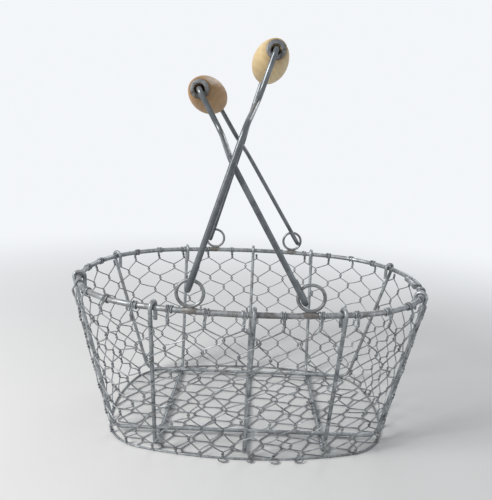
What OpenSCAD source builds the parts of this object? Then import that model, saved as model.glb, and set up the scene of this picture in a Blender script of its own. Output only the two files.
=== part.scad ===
// Oval farmhouse egg basket: a wire frame covered with hexagonal wire netting,
// with two swinging bails that carry turned wooden grips.
// X runs along the basket, Y across it, Z up; the origin is the middle of the base, on the ground.

/* [Rim] */
// Overall length of the rim, outside its wire
rim_length = 289.2; // [260:0.2:330]
// Overall width of the rim, outside its wire
rim_width = 212.6; // [190:0.2:240]
// Height of the middle of the rim wire
rim_height = 123.3; // [100:0.1:150]
// Thickness of the rim wire
rim_wire = 4.2; // [3.4:0.1:4.8]
// Radius of the rim's four corner curves
rim_corner_radius = 90; // [75:1:95]
// Length over which the two ends of the rim wire lie side by side
lap_length = 26; // [15:1:34]

/* [Base] */
// Length of the netting where it meets the ground
base_length = 236; // [210:1:250]
// Width of the netting where it meets the ground
base_width = 163; // [145:1:175]
// Radius of the base's four corner curves
base_corner_radius = 44; // [34:1:60]
// Thickness of the wire that edges the base
edge_wire = 1.6; // [1.2:0.1:2]

/* [Ribs] */
// Thickness of the rib wire
rib_wire = 3; // [2.4:0.1:3.4]
// Inside radius of the bends where the ribs turn under the basket
rib_bend_radius = 8.5; // [6:0.5:12]
// Length of the tail that hangs inside the rim at each end of a rib
rib_tail = 10; // [6:1:16]
// Height of the underside of the lower ribs
rib_underside = 1.25; // [1.2:0.05:2]
// Distance of the left cross rib from the middle
left_rib_x = 69; // [60:1:76]
// Distance of the right cross rib from the middle
right_rib_x = 61; // [54:1:70]
// Distance of the front long rib from the middle
front_rib_y = 51; // [40:1:54]
// Distance of the back long rib from the middle
back_rib_y = 57; // [46:1:60]

/* [Netting] */
// Thickness of the netting wire
net_wire = 1; // [0.8:0.05:1.1]
// Number of twists in one row round the wall
net_columns = 32; // [28:1:34]
// Number of rows of twists down the wall
net_rows = 11; // [9:1:12]
// Length of one twist
twist_length = 5.2; // [4:0.1:6]
// Distance between neighbouring twists in one row of the base netting
base_pitch = 24.7; // [22:0.1:28]
// Distance between rows of the base netting
base_row_pitch = 11.8; // [10:0.1:14]
// Angle of the base netting's twists from the width of the basket
base_net_angle = 24; // [0:1:40]
// Number of turns in each lacing that ties the base netting to a cross rib
lacing_turns = 4; // [3:1:6]
// Distance between the turns of a lacing
lacing_pitch = 5.5; // [5:0.1:6]
// Distance of the left lacing's middle in front of the basket's middle
left_lacing_y = 7.2; // [6.8:0.1:7.6]
// Distance of the right lacing's middle in front of the basket's middle
right_lacing_y = 5.6; // [5.2:0.1:6]

/* [Rings] */
// Outside diameter of the bail rings
ring_diameter = 20.6; // [18:0.1:24]
// Thickness of the ring wire
ring_wire = 2.4; // [2:0.1:2.8]
// Distance of the rings from the middle
ring_x = 40.5; // [34:0.5:46]

/* [Bails] */
// Thickness of the bail wire
bail_wire = 4; // [3.4:0.1:4.4]
// Left bail's front leg: its length from the hook to the grip's wire, and its lean from upright
left_front_leg = [168.9, 17.9];
// Left bail's back leg
left_back_leg = [168.1, 16.8];
// Right bail's front leg
right_front_leg = [160.6, 29.9];
// Right bail's back leg
right_back_leg = [160, 31.9];
// Distance from the grip down to where the legs of the left bail start to spread
left_neck = 37; // [30:1:44]
// Distance from the grip down to where the legs of the right bail start to spread
right_neck = 34; // [28:1:42]
// Height of the stretch in which the legs spread
neck_drop = 21; // [18:1:26]
// Distance between the two legs of a bail beside its grip
neck_width = 110; // [104:1:120]
// Radius of the spreading bends
neck_radius = 12; // [6:1:16]
// Length of the tail that each hook turns up inside its ring
hook_tail = 15; // [10:1:22]
// Where the left bail's front hook rests in its ring: share of the play taken up, and direction
left_front_rest = [0.75, 100];
// Left bail's back hook in its ring
left_back_rest = [1, 190];
// Right bail's front hook in its ring
right_front_rest = [1, -133];
// Right bail's back hook in its ring
right_back_rest = [1, -9];

/* [Grips] */
// Thickness of a grip at its middle
grip_diameter = 30; // [26:0.5:32]
// Thickness of a grip at its ends
grip_end_diameter = 17; // [15:0.5:22]
// Radius of the rounding at the ends of a grip
grip_rounding = 1.5; // [1:0.5:3]
// Play between a grip's bore and the wire in it
grip_play = 0.9; // [0.6:0.1:1.2]
// Outside diameter of the metal cap on each end of a grip
cap_diameter = 14; // [12:0.5:15]
// Thickness of the metal caps
cap_thickness = 1; // [0.6:0.1:1.4]

/* [Hidden] */

// Clearances: pieces that are wired together, hooks on the rim, pieces that move past each other,
// the legs of the two bails past each other, a bail's hook against its ring where it rests, welded seats
lie_gap = 0.15;
hook_gap = 0.4;
moving_gap = 0.4;
leg_gap = 1.6;
ring_gap = 0.6;
weld_gap = 0.05;

// Directions at which the end, corner and side curves of the rim and the base meet
end_turn = 14;
corner_turn = 75;

steel = "slategray";
dark_steel = "dimgray";
galvanised = "lightslategray";
beech = "burlywood";
wire_facets = 36;
bend_facets = 72;

// An oval of eight tangent arcs is kept as half length, half width and the three radii:
// the end radius and the side radius follow from the closure of one quarter.
function oval(a, b, corner) =
    let(ca = cos(end_turn), sa = sin(end_turn), cb = cos(corner_turn), sb = sin(corner_turn),
        u = -a + corner * (ca - cb), v = b + corner * (sa - sb),
        det = (ca - 1) * (1 - sb) + cb * sa)
    [a, b, (u * (1 - sb) + cb * v) / det, corner, ((ca - 1) * v - sa * u) / det];
function grown(o, d) = [o[0] + d, o[1] + d, o[2] + d, o[3] + d, o[4] + d];
function mixed(o, q, t) = o * (1 - t) + q * t;
function end_centre(o) = [o[0] - o[2], 0];
function corner_centre(o) = end_centre(o) + (o[2] - o[3]) * [cos(end_turn), sin(end_turn)];
function side_centre(o) = [0, o[1] - o[4]];

// Point of an oval whose outward direction is turned by an angle from +X, in the first quarter
function quarter_point(o, turn) =
    let(out = [cos(turn), sin(turn)])
    turn < end_turn ? end_centre(o) + o[2] * out
    : turn < corner_turn ? corner_centre(o) + o[3] * out
    : side_centre(o) + o[4] * out;
// The same all the way round
function oval_point(o, turn) =
    let(c = cos(turn), s = sin(turn), p = quarter_point(o, atan2(abs(s), abs(c))))
    [c < 0 ? -p[0] : p[0], s < 0 ? -p[1] : p[1]];
function oval_perimeter(o) =
    4 * PI / 180 * (o[2] * end_turn + o[3] * (corner_turn - end_turn) + o[4] * (90 - corner_turn));
// Outward direction at a run along the first quarter, from its end at +X
function quarter_turn(o, run) =
    let(r = 180 / PI, e = o[2] * end_turn / r, c = o[3] * (corner_turn - end_turn) / r)
    run < e ? run * r / o[2]
    : run < e + c ? end_turn + (run - e) * r / o[3]
    : corner_turn + (run - e - c) * r / o[4];
// Outward direction at a fraction of the way round, counted from +X towards +Y
function oval_turn(o, fraction) =
    let(f = 4 * (fraction - floor(fraction)), q = floor(f), quarter = oval_perimeter(o) / 4)
    q == 0 ? quarter_turn(o, f * quarter)
    : q == 1 ? 180 - quarter_turn(o, (2 - f) * quarter)
    : q == 2 ? 180 + quarter_turn(o, (f - 2) * quarter)
    : 360 - quarter_turn(o, (4 - f) * quarter);
// Outward direction where an oval passes a given x or y in the first quarter
function turn_at_x(o, x) =
    let(s = acos(x / o[4]), c = acos((x - corner_centre(o)[0]) / o[3]))
    s > corner_turn ? s : c > end_turn ? c : acos((x - end_centre(o)[0]) / o[2]);
function turn_at_y(o, y) =
    let(e = asin(y / o[2]), c = asin((y - corner_centre(o)[1]) / o[3]))
    e < end_turn ? e : c < corner_turn ? c : asin((y - side_centre(o)[1]) / o[4]);
// Distance of a point outside an oval, negative inside
function outside(o, p) =
    let(q = [abs(p[0]), abs(p[1])], e = q - end_centre(o), s = q - side_centre(o))
    atan2(e[1], e[0]) < end_turn ? norm(e) - o[2]
    : atan2(s[1], s[0]) > corner_turn ? norm(s) - o[4]
    : norm(q - corner_centre(o)) - o[3];

rim = oval((rim_length - rim_wire) / 2, (rim_width - rim_wire) / 2, rim_corner_radius);
base = oval(base_length / 2, base_width / 2, base_corner_radius);

// The ribs hook over the rim from outside, and the netting lies outside the ribs
hook_radius = (rim_wire + rib_wire) / 2 + hook_gap;
rib_to_net = (rib_wire + net_wire) / 2 + 2 * lie_gap;
net_top = rim_height - rim_wire - net_wire;
net_foot = edge_wire + lie_gap;
rim_net = grown(rim, hook_radius + rib_to_net);
wall_tilt = atan((rim_net[1] - base[1]) / rim_height);

// The wall of netting at a height: between the rim's outline and the base's outline
function wall_at(z) = mixed(base, rim_net, z / rim_height);

function unit(v) = v / norm(v);
function turn_between(u, v) = acos(max(-1, min(1, unit(u) * unit(v))));

// Bends are a hair slimmer than the runs between them and reach a little way into their ends,
// which joins the pieces of a wire cleanly
joint_step = 0.04;
joint_reach = 0.1;
// Shortest straight run between two bends of a hook
hook_flat = 0.6;

// A round wire along straight runs: each corner is [point, inside bend radius]
module wire(corners, thickness) {
    n = len(corners);
    points = [for (c = corners) c[0]];
    radii = [for (c = corners) c[1] + thickness / 2];
    steps = [for (i = [0:n - 2]) unit(points[i + 1] - points[i])];
    cuts = [for (i = [0:n - 1]) i == 0 || i == n - 1 ? 0
        : radii[i] * tan(turn_between(steps[i - 1], steps[i]) / 2)];
    for (i = [0:n - 2]) {
        run = norm(points[i + 1] - points[i]) - cuts[i] - cuts[i + 1];
        along(points[i] + steps[i] * cuts[i], steps[i])
            cylinder(h=run, d=thickness, $fn=wire_facets);
    }
    for (i = [1:1:n - 2]) {
        inward = unit(steps[i] - (steps[i] * steps[i - 1]) * steps[i - 1]);
        start = points[i] - steps[i - 1] * cuts[i];
        placed(start + inward * radii[i], -inward, steps[i - 1])
            slim_bend(radii[i], turn_between(steps[i - 1], steps[i]), thickness);
    }
}

// Puts a shape's own X and Y axes along two square directions
module placed(origin, x_axis, y_axis) {
    z_axis = cross(x_axis, y_axis);
    multmatrix([for (i = [0:2]) [x_axis[i], y_axis[i], z_axis[i], origin[i]]]) children();
}

// Puts a shape's own Z axis along a direction
module along(origin, z_axis) {
    side = abs(z_axis[2]) < 0.9 ? [0, 0, 1] : [1, 0, 0];
    x_axis = unit(cross(side, z_axis));
    placed(origin, x_axis, cross(z_axis, x_axis)) children();
}

// Part of a ring of round wire, from +X towards +Y
module bend(radius, angle, thickness) {
    rotate_extrude(angle=angle, $fn=bend_facets)
        translate([radius, 0]) circle(d=thickness, $fn=wire_facets);
}

// The same for a stretch that joins thicker ones
module slim_bend(radius, angle, thickness) {
    reach = joint_reach / radius * 180 / PI;
    rotate([0, 0, -reach]) bend(radius, angle + 2 * reach, thickness - joint_step);
}

// The stretch of one end curve of an oval wire between two outward directions
module end_arc(o, from, to, thickness) {
    translate([end_centre(o)[0], 0, 0]) rotate([0, 0, from]) bend(o[2], to - from, thickness);
}

// The two side curves, the four corner curves and the left end curve of an oval wire
module oval_wire(o, thickness) {
    for (half = [0, 180]) rotate([0, 0, half]) {
        translate([0, side_centre(o)[1], 0]) rotate([0, 0, corner_turn])
            bend(o[4], 180 - 2 * corner_turn, thickness);
        for (flip = [0, 1]) mirror([flip, 0, 0])
            translate([corner_centre(o)[0], corner_centre(o)[1], 0]) rotate([0, 0, end_turn])
                slim_bend(o[3], corner_turn - end_turn, thickness);
    }
    rotate([0, 0, 180]) end_arc(o, -end_turn, end_turn, thickness);
}

// The rim is one wire whose front end steps inward and laps along its back end
lap_shift = rim_wire + lie_gap;
lap_step_radius = 2.4 * rim_wire;
lap_circle = rim[2] - lap_shift;
// Angles of the triangle between the centres of the end curve and of the two bends of the step
lap_step_turn = acos((pow(rim[2] - lap_step_radius, 2) + pow(lap_circle + lap_step_radius, 2)
    - pow(2 * lap_step_radius, 2)) / 2 / (rim[2] - lap_step_radius) / (lap_circle + lap_step_radius));
lap_step_bend = 180 - acos((pow(rim[2] - lap_step_radius, 2) + pow(2 * lap_step_radius, 2)
    - pow(lap_circle + lap_step_radius, 2)) / 4 / (rim[2] - lap_step_radius) / lap_step_radius);
lap_turn = lap_length / lap_circle * 180 / PI;
back_end_turn = -end_turn + lap_step_turn + 1;

module rim_hoop() {
    color(steel) translate([0, 0, rim_height]) {
        oval_wire(rim, rim_wire);
        end_arc(rim, back_end_turn, end_turn, rim_wire);
        translate([end_centre(rim)[0], 0, 0]) rotate([0, 0, -end_turn]) {
            translate([rim[2] - lap_step_radius, 0, 0]) bend(lap_step_radius, lap_step_bend, rim_wire);
            rotate([0, 0, lap_step_turn]) {
                translate([lap_circle + lap_step_radius, 0, 0])
                    rotate([0, 0, 180 - (lap_step_bend - lap_step_turn)])
                        slim_bend(lap_step_radius, lap_step_bend - lap_step_turn, rim_wire);
                bend(lap_circle, lap_turn, rim_wire);
            }
        }
    }
}

// Outline on which the lowest corners of the ribs lie, inside the wall of netting, at a height
function foot_oval(z) = grown(wall_at(z), -rib_to_net / cos(wall_tilt));

// Where the hook of a rib turns down over the rim: its corner lies further out as the rib slants
function hook_reach(top, out, foot, reach, passes) =
    passes == 0 ? reach
    : let(corner = top + out * reach, slant = turn_between(out, foot - corner))
    hook_reach(top, out, foot, (hook_radius - hook_flat / 2) * tan(slant / 2) + hook_flat / 2, passes - 1);

// Corners of the half of a rib that starts inside the rim and ends at its foot
function rib_half(rim_turn, foot) =
    let(p = oval_point(rim, rim_turn), out = [cos(rim_turn), sin(rim_turn), 0],
        top = [p[0], p[1], rim_height + hook_radius],
        inner = top - out * hook_radius,
        bend_inside = hook_radius - hook_flat / 2 - rib_wire / 2)
    [[inner - [0, 0, hook_radius + rib_tail], 0],
     [inner, bend_inside],
     [top + out * hook_reach(top, out, foot, hook_radius, 4), bend_inside],
     [foot, rib_bend_radius]];

function backward(list) = [for (i = [len(list) - 1:-1:0]) list[i]];

// A rib from rim to rim under the basket, from the outward directions of its hooks and its feet
module rib(start_hook, start_foot, end_hook, end_foot) {
    color(dark_steel)
        wire(concat(rib_half(start_hook, start_foot), backward(rib_half(end_hook, end_foot))), rib_wire);
}

cross_rib_z = rib_underside + rib_wire / 2;
long_rib_z = cross_rib_z + rib_wire + weld_gap;
// Distances from the middle at which a rib's front and back hooks lie further right than its feet
rib_lean = [3, 0];

module cross_rib(x) {
    tops = [for (l = rib_lean) x + l];
    front_hook = turn_at_x(rim, abs(tops[0]));
    back_hook = turn_at_x(rim, abs(tops[1]));
    outline = foot_oval(cross_rib_z);
    reach = oval_point(outline, turn_at_x(outline, abs(x)))[1];
    rib(tops[0] < 0 ? 180 + front_hook : -front_hook, [x, -reach, cross_rib_z],
        tops[1] < 0 ? 180 - back_hook : back_hook, [x, reach, cross_rib_z]);
}

module cross_rib_left() { cross_rib(-left_rib_x); }
module cross_rib_centre() { cross_rib(0); }
module cross_rib_right() { cross_rib(right_rib_x); }

// Distances from the middle at which the hooks of the long ribs hold the rim, left and right
front_hook_y = [27, 47];
back_hook_y = [51, 48];

function long_rib_reach(y) =
    let(outline = foot_oval(long_rib_z)) oval_point(outline, turn_at_y(outline, y))[0];

module long_rib_front() {
    reach = long_rib_reach(front_rib_y);
    rib(180 + turn_at_y(rim, front_hook_y[0]), [-reach, -front_rib_y, long_rib_z],
        -turn_at_y(rim, front_hook_y[1]), [reach, -front_rib_y, long_rib_z]);
}

module long_rib_back() {
    reach = long_rib_reach(back_rib_y);
    rib(180 - turn_at_y(rim, back_hook_y[0]), [-reach, back_rib_y, long_rib_z],
        turn_at_y(rim, back_hook_y[1]), [reach, back_rib_y, long_rib_z]);
}

// The rings stand on top of the rim, in the upright plane along the basket
ring_y = oval_point(rim, turn_at_x(rim, ring_x))[1];
ring_z = rim_height + rim_wire / 2 + ring_diameter / 2 + weld_gap;

module ring(side_x, side_y) {
    color(steel) translate([side_x * ring_x, side_y * ring_y, ring_z]) rotate([90, 0, 0])
        rotate_extrude($fn=bend_facets)
            translate([(ring_diameter - ring_wire) / 2, 0]) circle(d=ring_wire, $fn=wire_facets);
}

module ring_front_left() { ring(-1, -1); }
module ring_front_right() { ring(1, -1); }
module ring_back_left() { ring(-1, 1); }
module ring_back_right() { ring(1, 1); }

// Netting: every wire zigzags between two neighbouring lines of twists, and lies beside its
// neighbour, first on one side and then on the other, through each twist. A strand has three
// sides, with the flat one inward, and its corners are mitred in the plane of the netting.
twist_half_gap = net_wire / 2 + 0.06;
strand_width = net_wire;
strand_depth = net_wire;

// Corner points of a strand at one of its points, from the directions before and after it
function mitre(point, before, after, face) =
    let(side = unit(cross(unit(unit(before) + unit(after)), face)),
        width = strand_width / 2 / (side * unit(cross(before, face))))
    [point + side * width - face * strand_depth / 3,
     point - side * width - face * strand_depth / 3,
     point + face * strand_depth * 2 / 3];

// A three-sided strand through points, with the outward direction of the netting at each
module strand(points, faces) {
    n = len(points);
    steps = [for (i = [0:n - 2]) points[i + 1] - points[i]];
    corners = [for (i = [0:n - 1])
        each mitre(points[i], steps[max(0, i - 1)], steps[min(n - 2, i)], faces[i])];
    sides = [for (i = [0:n - 2]) for (k = [0:2])
        let(a = 3 * i + k, b = 3 * i + (k + 1) % 3)
        each [[a, b + 3, b], [a, a + 3, b + 3]]];
    polyhedron(corners, concat([[0, 1, 2], [3 * n - 1, 3 * n - 2, 3 * n - 3]], sides));
}

// A point of the wall: columns from the front middle to the right, height, sideways shift
net_phase = -0.12;
net_lean = -0.35;
function wall_point(column, z, shift) =
    let(o = wall_at(z), lean = net_lean * (rim_height - z) / rim_height,
        turn = oval_turn(o, 0.75 + (column + net_phase + lean) / net_columns),
        p = oval_point(o, turn))
    [p[0] - sin(turn) * shift, p[1] + cos(turn) * shift, z];
function wall_face(column, z) =
    let(turn = oval_turn(wall_at(z), 0.75 + (column + net_phase) / net_columns))
    [cos(turn) * cos(wall_tilt), sin(turn) * cos(wall_tilt), -sin(wall_tilt)];

row_drop = (net_top - net_foot - twist_length * cos(wall_tilt)) / (net_rows - 1);

// Strand number k runs between the lines of twists k and k + 1, two lines to a column
module wall_strand(k) {
    stations = [for (row = [0:net_rows - 1]) for (end = [0, 1])
        let(line = k + (k + row) % 2)
        [line / 2, net_top - row * row_drop - end * twist_length * cos(wall_tilt),
         line == k ? twist_half_gap : -twist_half_gap]];
    strand([for (s = stations) wall_point(s[0], s[1], s[2])],
        [for (s = stations) wall_face(s[0], s[1])]);
}

module netting(first, last) {
    color(galvanised) for (k = [first:last]) wall_strand(k);
}

// The front and the back take the strands over the side curves, the ends take the rest
side_strands = 2 * floor(net_columns * 0.29);
end_strands = net_columns - side_strands;
front_first = 2 * net_columns - side_strands / 2;

module netting_front() { netting(front_first, front_first + side_strands - 1); }
module netting_right_end() { netting(side_strands / 2, side_strands / 2 + end_strands - 1); }
module netting_back() { netting(net_columns - side_strands / 2, net_columns + side_strands / 2 - 1); }
module netting_left_end() {
    netting(net_columns + side_strands / 2, net_columns + side_strands / 2 + end_strands - 1);
}

// Base netting: the same strands laid flat on the ground inside the edge wire
base_net_z = strand_depth / 3;
base_inner = grown(base, -(edge_wire + net_wire) / 2 - lie_gap);
function base_point(across, down) =
    let(c = cos(base_net_angle), s = sin(base_net_angle))
    [across * c + down * s, across * s - down * c, base_net_z];

// Point between an inside and an outside point where the netting meets its edge
function edge_point(inner, outer, passes) =
    let(middle = (inner + outer) / 2)
    passes == 0 ? inner
    : outside(base_inner, middle) < 0 ? edge_point(middle, outer, passes - 1)
    : edge_point(inner, middle, passes - 1);

base_rows = ceil(base_length / base_row_pitch / 2);

module base_strand(k) {
    route = [for (row = [-base_rows:base_rows]) for (end = [-1, 1])
        let(line = k + abs(k + row) % 2)
        base_point(line * base_pitch / 2 + (line == k ? twist_half_gap : -twist_half_gap),
            row * base_row_pitch + end * twist_length / 2)];
    inside = [for (i = [0:len(route) - 1]) if (outside(base_inner, route[i]) < -1) i];
    first = min(inside);
    last = max(inside);
    points = concat([edge_point(route[first], route[first - 1], 12)],
        [for (i = inside) route[i]], [edge_point(route[last], route[last + 1], 12)]);
    strand(points, [for (p = points) [0, 0, 1]]);
}

base_strands = floor(base_length / base_pitch / cos(base_net_angle) - 0.7);

module netting_base() {
    color(galvanised) for (k = [-base_strands:base_strands - 1]) base_strand(k);
}

// Each twist of the top row ends in a tie: it runs up to the rim and is hooked over it.
// A tie that would land on a hook, a ring or the lap is left out, as the hook holds the netting.
tie_radius = (rim_wire + net_wire) / 2 + lie_gap;

function near(p, places, distance) = len([for (q = places) if (norm(p - q) < distance) 1]) > 0;
hook_turns = [for (x = [-left_rib_x, 0, right_rib_x]) for (i = [0, 1])
    let(top = x + rib_lean[i], t = turn_at_x(rim, abs(top)))
    i == 0 ? (top < 0 ? 180 + t : -t) : (top < 0 ? 180 - t : t)];
end_hook_turns = [180 + turn_at_y(rim, front_hook_y[0]), -turn_at_y(rim, front_hook_y[1]),
    180 - turn_at_y(rim, back_hook_y[0]), turn_at_y(rim, back_hook_y[1])];
hook_places = [for (t = concat(hook_turns, end_hook_turns)) oval_point(rim, t)];
ring_places = [for (x = [-1, 1]) for (y = [-1, 1]) [x * ring_x, y * ring_y]];
lap_middle = -end_turn + lap_step_turn + lap_turn / 2;
lap_places = [oval_point(rim, lap_middle)];

module rim_tie(column) {
    turn = oval_turn(rim_net, 0.75 + (column + net_phase) / net_columns);
    p = oval_point(rim, turn);
    top = wall_point(column, net_top + 2 * lie_gap, 0);
    clear_of_hooks = !near(p, hook_places, rib_wire + net_wire);
    clear_of_rings = !near(p, ring_places, 5.4);
    clear_of_lap = !near(p, lap_places, lap_length / 2 + lap_step_radius);
    if (clear_of_hooks && clear_of_rings && clear_of_lap) {
        out = [cos(turn), sin(turn), 0];
        centre = [p[0], p[1], rim_height];
        start = centre - out * tie_radius;
        hook_inside = tie_radius - hook_flat / 2 - net_wire / 2;
        wire([[start - [0, 0, tie_radius], 0],
              [start + [0, 0, tie_radius], hook_inside],
              [centre + out * tie_radius + [0, 0, tie_radius], hook_inside],
              [centre + out * tie_radius - [0, 0, 1], net_wire],
              [top, 0]], net_wire);
    }
}

module rim_ties() {
    color(galvanised) for (column = [0:net_columns - 1]) rim_tie(column);
}

module base_edge_wire() {
    color(steel) translate([0, 0, edge_wire / 2]) {
        oval_wire(base, edge_wire);
        end_arc(base, -end_turn, end_turn, edge_wire);
    }
}

// Lacing: a wire coiled round a cross rib and down under the base netting
lacing_sides = 6;
lacing_rings = 8;
lacing_radius = ((rib_wire + net_wire) / 2 + weld_gap) / cos(180 / lacing_rings);

module lacing(x, y) {
    rings = lacing_turns * lacing_rings;
    span = lacing_turns * lacing_pitch;
    points = [for (i = [0:rings]) for (k = [0:lacing_sides - 1])
        let(t = 360 * i / lacing_rings, s = 360 * k / lacing_sides,
            r = lacing_radius + net_wire / 2 * cos(s))
        [x + r * cos(t), y + span * (i / rings - 0.5) + net_wire / 2 * sin(s), cross_rib_z + r * sin(t)]];
    sides = [for (i = [0:rings - 1]) for (k = [0:lacing_sides - 1])
        let(a = i * lacing_sides + k, b = i * lacing_sides + (k + 1) % lacing_sides)
        each [[a, a + lacing_sides, b], [b, a + lacing_sides, b + lacing_sides]]];
    last = rings * lacing_sides;
    caps = [for (k = [1:lacing_sides - 2])
        each [[0, k, k + 1], [last, last + k + 1, last + k]]];
    color(galvanised) polyhedron(points, concat(caps, sides));
}

module base_lacing_left() { lacing(-left_rib_x, -left_lacing_y); }
module base_lacing_right() { lacing(right_rib_x, -right_lacing_y); }

// Bails: each end is a hook that passes through its ring from outside and turns up inside it.
// The legs of the right bail stand inside those of the left one.
hug_offset = (ring_wire + bail_wire) / 2 + moving_gap;
pass_offset = hug_offset + bail_wire + leg_gap;
hook_bend = (hug_offset + pass_offset) / 2;
hook_drop = hook_bend - sqrt(pow(hook_bend, 2) - pow(hook_bend - hug_offset, 2));
hook_rest = (ring_diameter - bail_wire) / 2 - ring_wire - ring_gap;
bail_end_radius = 3;

// Middle of a hook's wire in the plane of its ring
function hook_place(side, rest) =
    [side * ring_x + rest[0] * hook_rest * cos(rest[1]), 0, ring_z + rest[0] * hook_rest * sin(rest[1])];

// A point of a leg: its place across the basket, and its distance up the leg from the hook
function on_leg(hook, lean, y, up) = hook + [up * sin(lean), y, up * cos(lean)];

// Corners of the front or back half of a bail, from the tip of its hook to the bend beside its grip
function bail_half(end, side, rest, leg, leg_offset, neck) =
    let(hook = hook_place(side, rest), length = leg[0], lean = -side * leg[1],
        foot = end * (ring_y + leg_offset), tail = foot - end * 2 * hook_bend,
        top = end * neck_width / 2, inside = hook_bend - hook_flat / 2 - bail_wire / 2)
    [[on_leg(hook, lean, tail, hook_tail), 0],
     [on_leg(hook, lean, tail, -hook_drop), inside],
     [on_leg(hook, lean, foot, -hook_drop), inside],
     [on_leg(hook, lean, foot, length - neck - neck_drop), neck_radius],
     [on_leg(hook, lean, top, length - neck), neck_radius],
     [on_leg(hook, lean, top, length), bail_end_radius]];

left_corners = concat(
    bail_half(-1, -1, left_front_rest, left_front_leg, pass_offset, left_neck),
    backward(bail_half(1, -1, left_back_rest, left_back_leg, pass_offset, left_neck)));
right_corners = concat(
    bail_half(-1, 1, right_front_rest, right_front_leg, hug_offset, right_neck),
    backward(bail_half(1, 1, right_back_rest, right_back_leg, hug_offset, right_neck)));

module bail_left() { color(steel) wire(left_corners, bail_wire); }
module bail_right() { color(steel) wire(right_corners, bail_wire); }

// Grips: a turned barrel that spins on the straight top of its bail, with a metal cap on each end
bore = bail_wire + grip_play;
straight_top = neck_width - 2 * bail_end_radius - bail_wire;
grip_length = straight_top - 2 * cap_thickness - 2 * moving_gap - 2 * weld_gap;
// Radius of the barrel's curve, from its middle and end diameters
grip_belly = (grip_diameter - grip_end_diameter) / 2;
barrel_radius = (pow(grip_length / 2, 2) + pow(grip_belly, 2)) / 2 / grip_belly;
function barrel_at(y) = grip_diameter / 2 - barrel_radius + sqrt(pow(barrel_radius, 2) - y * y);

// Puts a shape on the straight top of a bail, between its two uppermost corners
module on_top(corners) {
    front = corners[5][0];
    back = corners[6][0];
    along((front + back) / 2, unit(back - front)) children();
}

module grip() {
    shoulder = grip_length / 2 - grip_rounding;
    rounding = [for (t = [90:-15:0])
        [barrel_at(shoulder) - grip_rounding * (1 - cos(t)), shoulder + grip_rounding * sin(t)]];
    belly = [for (i = [1:11]) let(y = shoulder * (1 - i / 6)) [barrel_at(y), y]];
    lower = [for (p = backward(rounding)) [p[0], -p[1]]];
    color(beech) rotate_extrude($fn=bend_facets)
        polygon(concat([[bore / 2, grip_length / 2]], rounding, belly, lower,
            [[bore / 2, -grip_length / 2]]));
}

module caps() {
    color(steel) for (end = [-1, 1])
        translate([0, 0, end * (grip_length / 2 + weld_gap + cap_thickness / 2)]) difference() {
            cylinder(h=cap_thickness, d=cap_diameter, center=true, $fn=wire_facets);
            cylinder(h=cap_thickness + 1, d=bore, center=true, $fn=wire_facets);
        }
}

module grip_left() { on_top(left_corners) grip(); }
module grip_right() { on_top(right_corners) grip(); }
module caps_left() { on_top(left_corners) caps(); }
module caps_right() { on_top(right_corners) caps(); }

rim_hoop();
cross_rib_left();
cross_rib_centre();
cross_rib_right();
long_rib_front();
long_rib_back();
ring_front_left();
ring_front_right();
ring_back_left();
ring_back_right();
netting_front();
netting_back();
netting_left_end();
netting_right_end();
netting_base();
rim_ties();
base_edge_wire();
base_lacing_left();
base_lacing_right();
bail_left();
bail_right();
grip_left();
grip_right();
caps_left();
caps_right();
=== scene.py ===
from math import acos, atan, atan2, ceil, cos, degrees, floor, hypot, radians, sin, sqrt

import bpy
from mathutils import Matrix, Vector


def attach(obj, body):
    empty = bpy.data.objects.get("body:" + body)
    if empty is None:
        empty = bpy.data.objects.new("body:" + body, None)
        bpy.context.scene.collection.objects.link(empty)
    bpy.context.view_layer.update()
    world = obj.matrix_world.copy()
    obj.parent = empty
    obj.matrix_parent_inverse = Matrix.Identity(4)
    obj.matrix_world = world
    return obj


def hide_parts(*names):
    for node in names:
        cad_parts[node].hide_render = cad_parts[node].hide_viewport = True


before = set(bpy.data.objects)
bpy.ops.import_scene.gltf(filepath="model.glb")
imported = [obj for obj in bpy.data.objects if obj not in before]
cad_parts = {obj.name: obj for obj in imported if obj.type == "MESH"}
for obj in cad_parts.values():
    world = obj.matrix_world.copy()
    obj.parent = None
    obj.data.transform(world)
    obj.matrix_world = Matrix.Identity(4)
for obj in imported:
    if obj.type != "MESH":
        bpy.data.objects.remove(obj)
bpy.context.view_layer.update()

MM = 0.001

# The basket's sizes in millimetres and degrees, the same as in the part's source
RIM_HEIGHT, RIM_WIRE = 123.3, 4.2
RIM_HALF_LENGTH, RIM_HALF_WIDTH, RIM_CORNER = 142.5, 104.2, 90.0
BASE_HALF_LENGTH, BASE_HALF_WIDTH, BASE_CORNER = 118.0, 81.5, 44.0
RIB_WIRE, EDGE_WIRE, NET_WIRE = 3.0, 1.6, 1.0
END_TURN, CORNER_TURN = 14.0, 75.0
LIE_GAP, HOOK_GAP, WELD_GAP = 0.15, 0.4, 0.05
NET_COLUMNS, NET_ROWS, TWIST_LENGTH = 32, 11, 5.2
NET_PHASE, NET_LEAN = -0.12, -0.35
BASE_PITCH, BASE_ROW_PITCH, BASE_NET_ANGLE = 24.7, 11.8, 24.0
LEFT_RIB_X, RIGHT_RIB_X, RIB_LEAN = 69.0, 61.0, (3.0, 0.0)
RIB_UNDERSIDE = 1.25
FRONT_HOOK_Y, BACK_HOOK_Y = (27.0, 47.0), (51.0, 48.0)
RING_X, RING_Y, RING_Z = 40.5, 101.35, 135.75
LACING_TURNS, LACING_PITCH, LEFT_LACING_Y, RIGHT_LACING_Y = 4, 5.5, 7.2, 5.6
HOOK_REST, NECK_WIDTH = 5.3, 110.0
# Front and back leg of each bail: length, lean from upright, share of the play in the ring, direction in it
LEFT_LEGS = ((168.9, 17.9, 0.75, 100.0), (168.1, 16.8, 1.0, 190.0))
RIGHT_LEGS = ((160.6, -29.9, 1.0, -133.0), (160.0, -31.9, 1.0, -9.0))
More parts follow.
